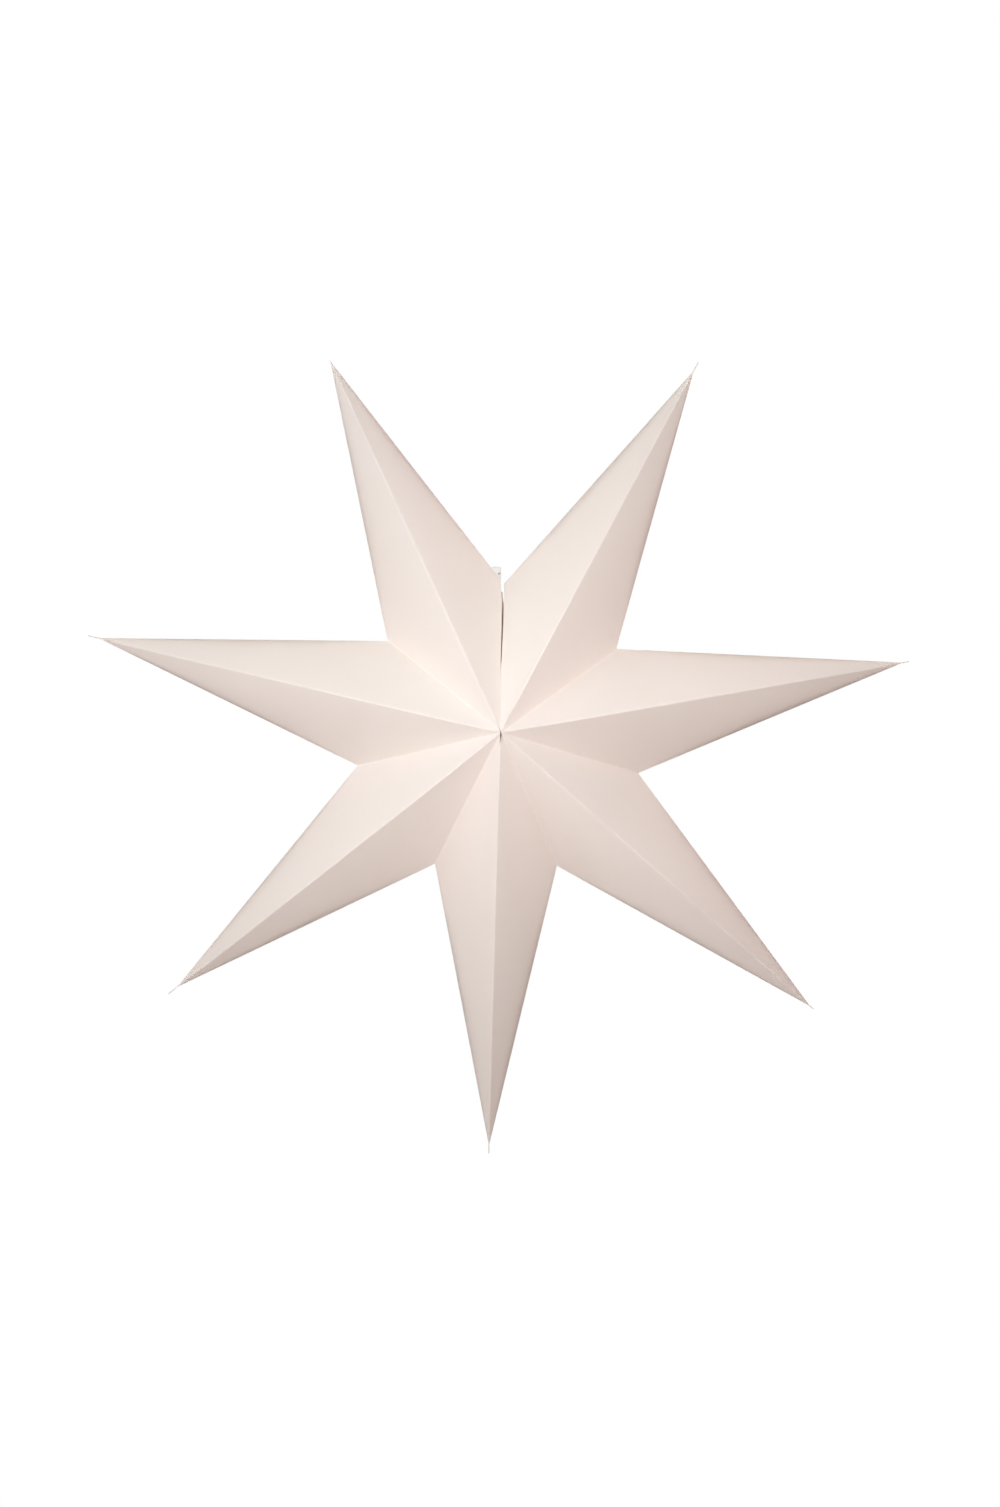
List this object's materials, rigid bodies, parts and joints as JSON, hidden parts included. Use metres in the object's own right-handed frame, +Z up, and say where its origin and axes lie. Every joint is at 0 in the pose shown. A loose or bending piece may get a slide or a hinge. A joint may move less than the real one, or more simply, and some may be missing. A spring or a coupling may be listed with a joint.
{
  "type": "paper star lantern shade",
  "caption": "Hanging star-shaped lantern shade of folded card with deep creased points, which closes like a fan and hangs by a punched paper tab at its seam.",
  "frame": {"origin": "centre of the hanging tab's hole, in the star's middle plane between front and rear", "axes": "+X to the right as seen from the front, +Y from the front to the rear, +Z up"},
  "size_m": [0.584, 0.1456, 0.569],
  "materials": {
    "card": "matt",
    "tab_paper": "matt",
    "adhesive": "satin"
  },
  "bodies": {
    "point_1_rear_a": {"point_1_rear_a": "card", "hanging_tab": "tab_paper"},
    "point_1_front_a": {"point_1_front_a": "card"},
    "point_1_front_b": {"point_1_front_b": "card"},
    "point_1_rear_b": {"point_1_rear_b": "card"},
    "point_2_front_a": {"point_2_front_a": "card"},
    "point_2_front_b": {"point_2_front_b": "card"},
    "point_2_rear_a": {"point_2_rear_a": "card"},
    "point_2_rear_b": {"point_2_rear_b": "card"},
    "point_3_front_a": {"point_3_front_a": "card"},
    "point_3_front_b": {"point_3_front_b": "card"},
    "point_3_rear_a": {"point_3_rear_a": "card"},
    "point_3_rear_b": {"point_3_rear_b": "card"},
    "point_4_front_a": {"point_4_front_a": "card"},
    "point_4_front_b": {"point_4_front_b": "card"},
    "point_4_rear_a": {"point_4_rear_a": "card"},
    "point_4_rear_b": {"point_4_rear_b": "card"},
    "point_5_front_a": {"point_5_front_a": "card"},
    "point_5_front_b": {"point_5_front_b": "card"},
    "point_5_rear_a": {"point_5_rear_a": "card"},
    "point_5_rear_b": {"point_5_rear_b": "card"},
    "point_6_front_a": {"point_6_front_a": "card"},
    "point_6_front_b": {"point_6_front_b": "card"},
    "point_6_rear_a": {"point_6_rear_a": "card"},
    "point_6_rear_b": {"point_6_rear_b": "card"},
    "point_7_front_a": {"point_7_front_a": "card"},
    "point_7_front_b": {"point_7_front_b": "card"},
    "point_7_rear_a": {"point_7_rear_a": "card"},
    "point_7_rear_b": {"point_7_rear_b": "card"},
    "valley_1_front_flap": {"valley_1_front_flap": "card"},
    "valley_1_rear_flap": {"valley_1_rear_flap": "card"},
    "valley_2_front_flap": {"valley_2_front_flap": "card"},
    "valley_2_rear_flap": {"valley_2_rear_flap": "card"},
    "valley_3_front_flap": {"valley_3_front_flap": "card"},
    "valley_3_rear_flap": {"valley_3_rear_flap": "card"},
    "valley_4_front_flap": {"valley_4_front_flap": "card"},
    "valley_4_rear_flap": {"valley_4_rear_flap": "card"},
    "valley_5_front_flap": {"valley_5_front_flap": "card"},
    "valley_5_rear_flap": {"valley_5_rear_flap": "card"},
    "valley_6_front_flap": {"valley_6_front_flap": "card"},
    "valley_6_rear_flap": {"valley_6_rear_flap": "card"},
    "seam_flap_left_front": {"seam_flap_left_front": "card", "closing_dot_front": "adhesive"},
    "seam_flap_left_rear": {"seam_flap_left_rear": "card", "closing_dot_rear": "adhesive"},
    "seam_flap_right_front": {"seam_flap_right_front": "card"},
    "seam_flap_right_rear": {"seam_flap_right_rear": "card"}
  },
  "joints": [
    {"name": "fan_fold", "type": "hinge", "parent": "point_1_rear_a", "child": "point_1_front_a", "pos_m": [0.0034, 0, -0.0104], "axis": [-0.6097, 0, 0.7926], "range_deg": [0, 80.77]},
    {"name": "point_1_ridge", "type": "hinge", "parent": "point_1_front_a", "child": "point_1_front_b", "pos_m": [0.00103, -0.073, -0.11597], "axis": [-0.406, 0.2382, 0.8823], "range_deg": [-81.57, 0]},
    {"name": "point_1_edge_b", "type": "hinge", "parent": "point_1_front_b", "child": "point_1_rear_b", "pos_m": [-0.08068, 0, -0.04909], "axis": [-0.2053, 0, 0.9787], "range_deg": [0, 80.77]},
    {"name": "valley_1_crease", "type": "hinge", "parent": "point_1_front_b", "child": "point_2_front_a", "pos_m": [0.00103, -0.073, -0.11597], "axis": [-0.6365, 0.5686, 0.521], "range_deg": [0, 104.4]},
    {"name": "point_2_edge_a", "type": "hinge", "parent": "point_2_front_a", "child": "point_2_rear_a", "pos_m": [-0.08068, 0, -0.04909], "axis": [-0.9999, 0, 0.0108], "range_deg": [-80.55, 0]},
    {"name": "point_2_ridge", "type": "hinge", "parent": "point_2_front_a", "child": "point_2_front_b", "pos_m": [0.00103, -0.073, -0.11597], "axis": [-0.9457, 0.236, 0.2236], "range_deg": [-81.29, 0]},
    {"name": "point_2_edge_b", "type": "hinge", "parent": "point_2_front_b", "child": "point_2_rear_b", "pos_m": [-0.10198, 0, -0.13919], "axis": [-0.8989, 0, 0.4381], "range_deg": [0, 80.55]},
    {"name": "valley_2_crease", "type": "hinge", "parent": "point_2_front_b", "child": "point_3_front_a", "pos_m": [0.00103, -0.073, -0.11597], "axis": [-0.8025, 0.5686, -0.1808], "range_deg": [0, 103.42]},
    {"name": "point_3_edge_a", "type": "hinge", "parent": "point_3_front_a", "child": "point_3_rear_a", "pos_m": [-0.10198, 0, -0.13919], "axis": [-0.6354, 0, -0.7722], "range_deg": [-79.5, 0]},
    {"name": "point_3_ridge", "type": "hinge", "parent": "point_3_front_a", "child": "point_3_front_b", "pos_m": [0.00103, -0.073, -0.11597], "axis": [-0.7651, 0.2369, -0.5988], "range_deg": [-80.2, 0]},
    {"name": "point_3_edge_b", "type": "hinge", "parent": "point_3_front_b", "child": "point_3_rear_b", "pos_m": [-0.04625, 0, -0.2104], "axis": [-0.9022, 0, -0.4313], "range_deg": [0, 79.49]},
    {"name": "valley_3_crease", "type": "hinge", "parent": "point_3_front_b", "child": "point_4_front_a", "pos_m": [0.00103, -0.073, -0.11597], "axis": [-0.3683, 0.5686, -0.7355], "range_deg": [0, 101.79]},
    {"name": "point_4_edge_a", "type": "hinge", "parent": "point_4_front_a", "child": "point_4_rear_a", "pos_m": [-0.04625, 0, -0.2104], "axis": [0.1809, 0, -0.9835], "range_deg": [-78.42, 0]},
    {"name": "point_4_ridge", "type": "hinge", "parent": "point_4_front_a", "child": "point_4_front_b", "pos_m": [0.00103, -0.073, -0.11597], "axis": [-0.0305, 0.2362, -0.9712], "range_deg": [-79.06, 0]},
    {"name": "point_4_edge_b", "type": "hinge", "parent": "point_4_front_b", "child": "point_4_rear_b", "pos_m": [0.04229, 0, -0.21318], "axis": [-0.2423, 0, -0.9702], "range_deg": [0, 78.42]},
    {"name": "valley_4_crease", "type": "hinge", "parent": "point_4_front_b", "child": "point_5_front_a", "pos_m": [0.00103, -0.073, -0.11597], "axis": [0.3214, 0.5686, -0.7572], "range_deg": [0, 101.88]},
    {"name": "point_5_edge_a", "type": "hinge", "parent": "point_5_front_a", "child": "point_5_rear_a", "pos_m": [0.04229, 0, -0.21318], "axis": [0.8741, 0, -0.4858], "range_deg": [-79.6, 0]},
    {"name": "point_5_ridge", "type": "hinge", "parent": "point_5_front_a", "child": "point_5_front_b", "pos_m": [0.00103, -0.073, -0.11597], "axis": [0.7272, 0.2362, -0.6445], "range_deg": [-80.3, 0]},
    {"name": "point_5_edge_b", "type": "hinge", "parent": "point_5_front_b", "child": "point_5_rear_b", "pos_m": [0.10249, 0, -0.14526], "axis": [0.5873, 0, -0.8094], "range_deg": [0, 79.6]},
    {"name": "valley_5_crease", "type": "hinge", "parent": "point_5_front_b", "child": "point_6_front_a", "pos_m": [0.00103, -0.073, -0.11597], "axis": [0.7903, 0.5686, -0.2281], "range_deg": [0, 103.82]},
    {"name": "point_6_edge_a", "type": "hinge", "parent": "point_6_front_a", "child": "point_6_rear_a", "pos_m": [0.10249, 0, -0.14526], "axis": [0.9212, 0, 0.3892], "range_deg": [-80.95, 0]},
    {"name": "point_6_ridge", "type": "hinge", "parent": "point_6_front_a", "child": "point_6_front_b", "pos_m": [0.00103, -0.073, -0.11597], "axis": [0.9565, 0.2382, 0.1686], "range_deg": [-81.77, 0]},
    {"name": "point_6_edge_b", "type": "hinge", "parent": "point_6_front_b", "child": "point_6_rear_b", "pos_m": [0.08636, 0, -0.05375], "axis": [0.9987, 0, -0.0507], "range_deg": [0, 80.95]},
    {"name": "valley_6_crease", "type": "hinge", "parent": "point_6_front_b", "child": "point_7_front_a", "pos_m": [0.00103, -0.073, -0.11597], "axis": [0.6646, 0.5686, 0.4847], "range_deg": [0, 104.49]},
    {"name": "point_7_edge_a", "type": "hinge", "parent": "point_7_front_a", "child": "point_7_rear_a", "pos_m": [0.08636, 0, -0.05375], "axis": [0.2635, 0, 0.9647], "range_deg": [-80.48, 0]},
    {"name": "point_7_ridge", "type": "hinge", "parent": "point_7_front_a", "child": "point_7_front_b", "pos_m": [0.00103, -0.073, -0.11597], "axis": [0.4562, 0.2371, 0.8577], "range_deg": [-81.24, 0]},
    {"name": "point_7_edge_b", "type": "hinge", "parent": "point_7_front_b", "child": "point_7_rear_b", "pos_m": [0.00493, 0, -0.01045], "axis": [0.6526, 0, 0.7577], "range_deg": [0, 80.48]},
    {"name": "valley_1_front_flap_fold", "type": "hinge", "parent": "point_1_front_b", "child": "valley_1_front_flap", "pos_m": [0.00103, -0.073, -0.11597], "axis": [-0.6365, 0.5686, 0.521], "range_deg": [0, 52.12]},
    {"name": "valley_1_rear_flap_fold", "type": "hinge", "parent": "point_1_rear_b", "child": "valley_1_rear_flap", "pos_m": [0.00103, 0.073, -0.11597], "axis": [-0.6365, -0.5686, 0.521], "range_deg": [-52.12, 0]},
    {"name": "valley_2_front_flap_fold", "type": "hinge", "parent": "point_2_front_b", "child": "valley_2_front_flap", "pos_m": [0.00103, -0.073, -0.11597], "axis": [-0.8025, 0.5686, -0.1808], "range_deg": [0, 51.3]},
    {"name": "valley_2_rear_flap_fold", "type": "hinge", "parent": "point_2_rear_b", "child": "valley_2_rear_flap", "pos_m": [0.00103, 0.073, -0.11597], "axis": [-0.8025, -0.5686, -0.1808], "range_deg": [-51.3, 0]},
    {"name": "valley_3_front_flap_fold", "type": "hinge", "parent": "point_3_front_b", "child": "valley_3_front_flap", "pos_m": [0.00103, -0.073, -0.11597], "axis": [-0.3683, 0.5686, -0.7355], "range_deg": [0, 50.49]},
    {"name": "valley_3_rear_flap_fold", "type": "hinge", "parent": "point_3_rear_b", "child": "valley_3_rear_flap", "pos_m": [0.00103, 0.073, -0.11597], "axis": [-0.3683, -0.5686, -0.7355], "range_deg": [-50.49, 0]},
    {"name": "valley_4_front_flap_fold", "type": "hinge", "parent": "point_4_front_b", "child": "valley_4_front_flap", "pos_m": [0.00103, -0.073, -0.11597], "axis": [0.3214, 0.5686, -0.7572], "range_deg": [0, 51.39]},
    {"name": "valley_4_rear_flap_fold", "type": "hinge", "parent": "point_4_rear_b", "child": "valley_4_rear_flap", "pos_m": [0.00103, 0.073, -0.11597], "axis": [0.3214, -0.5686, -0.7572], "range_deg": [-51.39, 0]},
    {"name": "valley_5_front_flap_fold", "type": "hinge", "parent": "point_5_front_b", "child": "valley_5_front_flap", "pos_m": [0.00103, -0.073, -0.11597], "axis": [0.7903, 0.5686, -0.2281], "range_deg": [0, 52.43]},
    {"name": "valley_5_rear_flap_fold", "type": "hinge", "parent": "point_5_rear_b", "child": "valley_5_rear_flap", "pos_m": [0.00103, 0.073, -0.11597], "axis": [0.7903, -0.5686, -0.2281], "range_deg": [-52.43, 0]},
    {"name": "valley_6_front_flap_fold", "type": "hinge", "parent": "point_6_front_b", "child": "valley_6_front_flap", "pos_m": [0.00103, -0.073, -0.11597], "axis": [0.6646, 0.5686, 0.4847], "range_deg": [0, 52.06]},
    {"name": "valley_6_rear_flap_fold", "type": "hinge", "parent": "point_6_rear_b", "child": "valley_6_rear_flap", "pos_m": [0.00103, 0.073, -0.11597], "axis": [0.6646, -0.5686, 0.4847], "range_deg": [-52.06, 0]},
    {"name": "seam_flap_left_front_fold", "type": "hinge", "parent": "point_1_front_a", "child": "seam_flap_left_front", "pos_m": [0.00103, -0.073, -0.11597], "axis": [0.0184, 0.5686, 0.8224], "range_deg": [-52.28, 0]},
    {"name": "seam_flap_left_rear_fold", "type": "hinge", "parent": "point_1_rear_a", "child": "seam_flap_left_rear", "pos_m": [0.00103, 0.073, -0.11597], "axis": [0.0184, -0.5686, 0.8224], "range_deg": [0, 52.28]},
    {"name": "seam_flap_right_front_fold", "type": "hinge", "parent": "point_7_front_b", "child": "seam_flap_right_front", "pos_m": [0.00103, -0.073, -0.11597], "axis": [0.0304, 0.5686, 0.822], "range_deg": [0, 52.06]},
    {"name": "seam_flap_right_rear_fold", "type": "hinge", "parent": "point_7_rear_b", "child": "seam_flap_right_rear", "pos_m": [0.00103, 0.073, -0.11597], "axis": [0.0304, -0.5686, 0.822], "range_deg": [-52.06, 0]}
  ],
  "couplings": [
    {"joint": "point_1_ridge", "follows": "fan_fold", "ratio": -1.0099},
    {"joint": "point_1_edge_b", "follows": "fan_fold", "ratio": 1},
    {"joint": "valley_1_crease", "follows": "fan_fold", "ratio": 1.2926},
    {"joint": "point_2_edge_a", "follows": "fan_fold", "ratio": -0.99729},
    {"joint": "point_2_ridge", "follows": "fan_fold", "ratio": -1.0064},
    {"joint": "point_2_edge_b", "follows": "fan_fold", "ratio": 0.99729},
    {"joint": "valley_2_crease", "follows": "fan_fold", "ratio": 1.2805},
    {"joint": "point_3_edge_a", "follows": "fan_fold", "ratio": -0.98423},
    {"joint": "point_3_ridge", "follows": "fan_fold", "ratio": -0.99298},
    {"joint": "point_3_edge_b", "follows": "fan_fold", "ratio": 0.98422},
    {"joint": "valley_3_crease", "follows": "fan_fold", "ratio": 1.2603},
    {"joint": "point_4_edge_a", "follows": "fan_fold", "ratio": -0.97093},
    {"joint": "point_4_ridge", "follows": "fan_fold", "ratio": -0.97884},
    {"joint": "point_4_edge_b", "follows": "fan_fold", "ratio": 0.97093},
    {"joint": "valley_4_crease", "follows": "fan_fold", "ratio": 1.2614},
    {"joint": "point_5_edge_a", "follows": "fan_fold", "ratio": -0.98558},
    {"joint": "point_5_ridge", "follows": "fan_fold", "ratio": -0.99419},
    {"joint": "point_5_edge_b", "follows": "fan_fold", "ratio": 0.98558},
    {"joint": "valley_5_crease", "follows": "fan_fold", "ratio": 1.2854},
    {"joint": "point_6_edge_a", "follows": "fan_fold", "ratio": -1.0023},
    {"joint": "point_6_ridge", "follows": "fan_fold", "ratio": -1.0124},
    {"joint": "point_6_edge_b", "follows": "fan_fold", "ratio": 1.0023},
    {"joint": "valley_6_crease", "follows": "fan_fold", "ratio": 1.2937},
    {"joint": "point_7_edge_a", "follows": "fan_fold", "ratio": -0.9964},
    {"joint": "point_7_ridge", "follows": "fan_fold", "ratio": -1.0058},
    {"joint": "point_7_edge_b", "follows": "fan_fold", "ratio": 0.9964},
    {"joint": "valley_1_front_flap_fold", "follows": "fan_fold", "ratio": 0.6453},
    {"joint": "valley_1_rear_flap_fold", "follows": "fan_fold", "ratio": -0.6453},
    {"joint": "valley_2_front_flap_fold", "follows": "fan_fold", "ratio": 0.6352},
    {"joint": "valley_2_rear_flap_fold", "follows": "fan_fold", "ratio": -0.6352},
    {"joint": "valley_3_front_flap_fold", "follows": "fan_fold", "ratio": 0.62509},
    {"joint": "valley_3_rear_flap_fold", "follows": "fan_fold", "ratio": -0.62509},
    {"joint": "valley_4_front_flap_fold", "follows": "fan_fold", "ratio": 0.63626},
    {"joint": "valley_4_rear_flap_fold", "follows": "fan_fold", "ratio": -0.63626},
    {"joint": "valley_5_front_flap_fold", "follows": "fan_fold", "ratio": 0.64913},
    {"joint": "valley_5_rear_flap_fold", "follows": "fan_fold", "ratio": -0.64913},
    {"joint": "valley_6_front_flap_fold", "follows": "fan_fold", "ratio": 0.64457},
    {"joint": "valley_6_rear_flap_fold", "follows": "fan_fold", "ratio": -0.64457},
    {"joint": "seam_flap_left_front_fold", "follows": "fan_fold", "ratio": -0.64734},
    {"joint": "seam_flap_left_rear_fold", "follows": "fan_fold", "ratio": 0.64734},
    {"joint": "seam_flap_right_front_fold", "follows": "fan_fold", "ratio": 0.64457},
    {"joint": "seam_flap_right_rear_fold", "follows": "fan_fold", "ratio": -0.64457}
  ]
}
